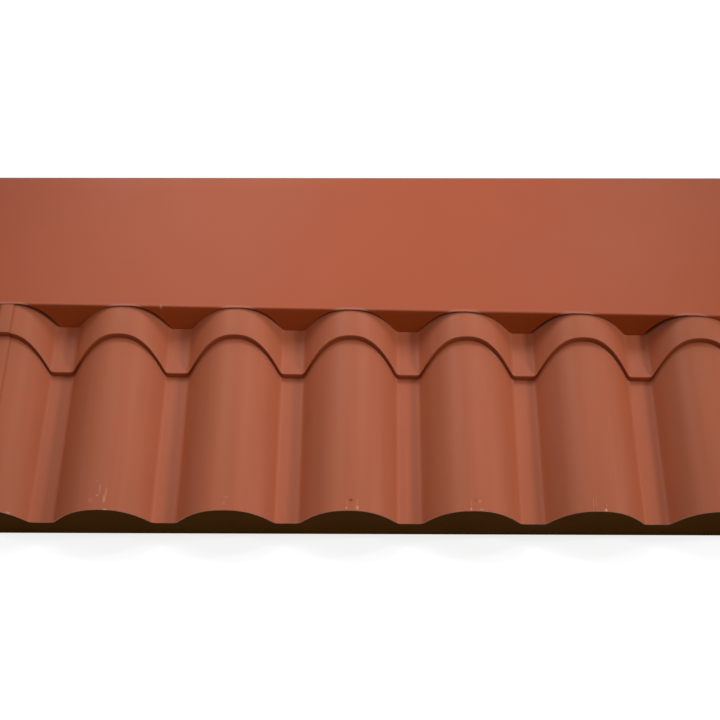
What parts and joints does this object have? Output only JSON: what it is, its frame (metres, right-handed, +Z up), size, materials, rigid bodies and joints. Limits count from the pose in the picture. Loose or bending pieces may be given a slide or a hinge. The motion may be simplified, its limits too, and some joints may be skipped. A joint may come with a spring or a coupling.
{
  "type": "ridge tile",
  "caption": "Terracotta ridge tile: a folded cap whose scalloped skirts drop into the valleys of two waved, stepped tile sheets on a dark core, one on each slope.",
  "frame": {"origin": "centre of the bounding box's bottom: under the ridge, midway along it, on the level the eaves stand on", "axes": "+X along the ridge, +Z up; the front slope faces -Y and the rear slope faces +Y"},
  "size_m": [1, 0.8298, 0.305],
  "materials": {
    "cap_paint": "satin terracotta paint on folded sheet steel",
    "sheet_paint": "satin terracotta paint on pressed sheet steel, with small chips along the cut edge",
    "core_brown": "dark brown rigid foam with a dull, finely cellular cut face"
  },
  "bodies": {
    "root": {"ridge_cap": "cap_paint", "tile_sheet_front": "sheet_paint", "tile_sheet_rear": "sheet_paint", "core_front": "core_brown", "core_rear": "core_brown"}
  },
  "joints": []
}
